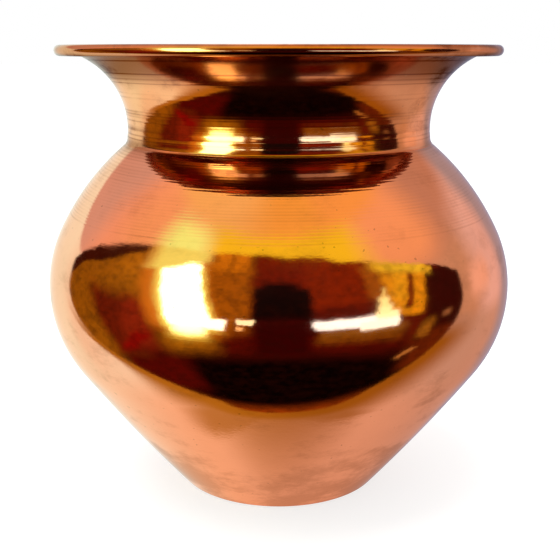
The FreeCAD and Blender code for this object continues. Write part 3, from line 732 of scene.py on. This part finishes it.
def gold_overhead(g, azimuth, elevation, x):
    """A gold band over the room, orange higher up, and a pale glow above the window."""
    overhead = g.mix(g.ramp(x, -0.5, 0.5), OVERHEAD_LEFT, OVERHEAD_RIGHT)
    overhead = g.mix(g.ramp(g.away(azimuth, 3.0), 63, 37), overhead, GOLD_BAND)
    higher = g.mix(g.ramp(azimuth, -45, 5), HIGHER_LEFT, HIGHER_MIDDLE)
    higher = g.mix(g.ramp(azimuth, 25, 50), higher, HIGHER_RIGHT)
    overhead = g.mix(g.ramp(elevation, 50, 59), overhead, higher)
    glow = g.both(g.ramp(elevation, 57, 45), g.ramp(elevation, 28, 40))
    glow = g.both(g.ramp(g.away(azimuth, -59.0), 24, 5), glow)
    return g.mix(glow, overhead, WINDOW_HALO)


def make_surround(g, azimuth, elevation, x, z, front, drop, reach):
    """Outside the room: paper on the left, a dusky wall on the right, ground below, gold overhead."""
    paper, dusk = paper_wall(g, azimuth, elevation, z), dusky_wall(g, azimuth, elevation)
    surround = g.mix(g.ramp(x, -0.45, 0.15), paper, dusk)
    ground = g.mix(g.ramp(x, -0.4, 0.1), GROUND_LEFT, GROUND_RIGHT)
    surround = g.mix(g.ramp(z, -0.60, -0.94), surround, ground)
    side = g.ramp(x, -0.3, 0.3)
    shade = ground_shade(g, azimuth, drop, side, reach)
    surround = g.mix(shade, surround, g.mix(side, SHADE_LEFT, SHADE_RIGHT))
    facing = g.both(g.ramp(front, -0.35, 0.05), g.ramp(elevation, 19, 33))
    surround = g.mix(facing, surround, gold_overhead(g, azimuth, elevation, x))
    turned_round = g.math("ADD", azimuth, g.math("MULTIPLY", g.math("LESS_THAN", azimuth, 0.0), 360.0))
    for card in BEHIND:
        surround = panel(g, surround, card, turned_round, elevation)
    return surround


def make_world():
    """White to the camera. To the metal, a dark warm room in front, with the surround round it."""
    world = bpy.data.worlds.new("room")
    world.use_nodes = True
    bpy.context.scene.world = world
    g = Graph(world.node_tree)
    direction = g.node("ShaderNodeTexCoord").outputs["Generated"]
    x, y, z = g.split(direction)
    front = g.math("MULTIPLY", y, FRONT)
    drop = g.math("MULTIPLY", z, -1.0)
    to_degrees = math.degrees(1)
    ragged = g.noise(direction, scale=7.0, detail=5.0, roughness=0.65)
    ragged = g.math("MULTIPLY_ADD", ragged, 2 * RAGGED, -RAGGED)
    uneven = g.noise(direction, scale=4.0, detail=1.0, w=2.0)
    uneven = g.math("MULTIPLY_ADD", uneven, 2 * UNEVEN, -UNEVEN)
    azimuth = g.math("MULTIPLY_ADD", g.math("ARCTAN2", x, front), to_degrees, ragged)
    elevation = g.math("MULTIPLY_ADD", g.math("ARCSINE", z), to_degrees, uneven)

    headroom, reach = room_outline(g, azimuth, elevation, x, front, drop, uneven)
    surround = make_surround(g, azimuth, elevation, x, z, front, drop, reach)
    room = make_room(g, direction, azimuth, elevation, front, headroom)
    inside = g.both(g.ramp(headroom, -0.8, 1.2), g.ramp(reach, -0.02, 0.02))

    mirrored = g.node("ShaderNodeBackground")
    g.link(g.mix(inside, surround, room), mirrored.inputs["Color"])
    plain = g.node("ShaderNodeBackground")
    plain.inputs["Color"].default_value = (1.0, 1.0, 1.0, 1.0)
    choose = g.node("ShaderNodeMixShader")
    g.link(g.node("ShaderNodeLightPath").outputs["Is Glossy Ray"], choose.inputs["Fac"])
    g.link(plain.outputs["Background"], choose.inputs[1])
    g.link(mirrored.outputs["Background"], choose.inputs[2])
    g.link(choose.outputs["Shader"], g.node("ShaderNodeOutputWorld").inputs["Surface"])


def floor_material():
    """Matt card that also glows, so that it reads as plain white ground."""
    material = bpy.data.materials.new("floor_card")
    material.use_nodes = True
    g = Graph(material.node_tree)
    shader = g.node("ShaderNodeBsdfPrincipled")
    shader.inputs["Base Color"].default_value = (0.4, 0.4, 0.4, 1.0)
    shader.inputs["Roughness"].default_value = 0.9
    shader.inputs["Specular IOR Level"].default_value = 0.0
    shader.inputs["Emission Color"].default_value = (1.0, 1.0, 1.0, 1.0)
    shader.inputs["Emission Strength"].default_value = 0.72
    g.link(shader.outputs["BSDF"], g.node("ShaderNodeOutputMaterial").inputs["Surface"])
    return material


FLOOR_REACH, FLOOR_GAP = 6.0, 0.02 * MM  # half the floor's width, and how far below the pot it lies


def make_floor():
    """A wide pale floor."""
    mesh = bpy.data.meshes.new("floor")
    signs = ((-1, -1), (1, -1), (1, 1), (-1, 1))
    corners = [(across * FLOOR_REACH, along * FLOOR_REACH, 0) for across, along in signs]
    mesh.from_pydata(corners, [], [(0, 1, 2, 3)])
    mesh.materials.append(floor_material())
    floor = bpy.data.objects.new("floor", mesh)
    bpy.context.scene.collection.objects.link(floor)
    floor.location.z = cad_low.z - FLOOR_GAP
    floor.visible_glossy = False


LIT_POINT = Vector((0, 0, 0.04))  # the light's aim, in the belly


def soft_light(name, place, size, watts, colour):
    """A large square light aimed at the pot, kept out of the camera's sight and the metal's mirror."""
    data = bpy.data.lights.new(name, "AREA")
    data.shape, data.size = "SQUARE", size
    data.energy, data.color = watts, colour
    light = bpy.data.objects.new(name, data)
    bpy.context.scene.collection.objects.link(light)
    light.location = place
    light.rotation_euler = (LIT_POINT - Vector(place)).to_track_quat("-Z", "Y").to_euler()
    light.visible_glossy = False
    light.visible_camera = False


CAMERA_ASIDE, CAMERA_AWAY, CAMERA_HEIGHT = 0.26 * MM, 219.6 * MM, 99.2 * MM
CAMERA_DIP = 13.54  # how far it looks down, in degrees
SENSOR_WIDTH, FOCAL_LENGTH = 36.0, 61.76  # in millimetres, as Blender has them


def make_camera():
    """Level with the rim, a little over two pot heights from the axis, looking a little down."""
    data = bpy.data.cameras.new("camera")
    data.sensor_width, data.lens = SENSOR_WIDTH, FOCAL_LENGTH
    data.clip_start, data.clip_end = 0.01, 50.0
    camera = bpy.data.objects.new("camera", data)
    bpy.context.scene.collection.objects.link(camera)
    camera.location = (CAMERA_ASIDE, FRONT * CAMERA_AWAY, CAMERA_HEIGHT)
    camera.rotation_euler = (math.radians(90 - CAMERA_DIP), 0, 0)
    bpy.context.scene.camera = camera


# ---------------------------------------------------------------- the scene

make_camera()
make_world()
make_floor()
soft_light("overhead", place=(-0.2, -0.1, 0.9), size=0.7, watts=9.0, colour=(1.0, 0.98, 0.95))
bpy.context.scene.view_settings.view_transform = "Standard"

shoulder_metal = metal("shoulder_copper", COPPER, lines=0.0022, grit=0.004, smudged=0.22)
bowl_metal = metal("bowl_copper", COPPER, lines=0.0018, grit=0.004, smudged=0.3, foot_darkening=0.14)
collar_metal = metal("collar_copper", COLLAR_COPPER, BROWN_TARNISH_AND_SHADE, rough=0.05, lines=0.004, mottle=0.004,
                     grit=0.004, smudged=0.35)
satin = metal("inside_copper", INSIDE_COPPER, rough=0.24, lines=0.006, mottle=0.006, smudged=0.6)
braze = metal("braze_metal", BRASSY, STAINED, rough=0.28, mottle=0.03, smudged=0.5)
make_bowl([bowl_metal, satin])
make_shoulder([shoulder_metal, satin])
make_collar([collar_metal, satin])
make_brazes(braze)
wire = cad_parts["rim_wire"]
wire.data.materials.clear()
wire.data.materials.append(metal("drawn_wire", WIRE_COPPER, rough=0.3, mottle=0.01, smudged=0.5))
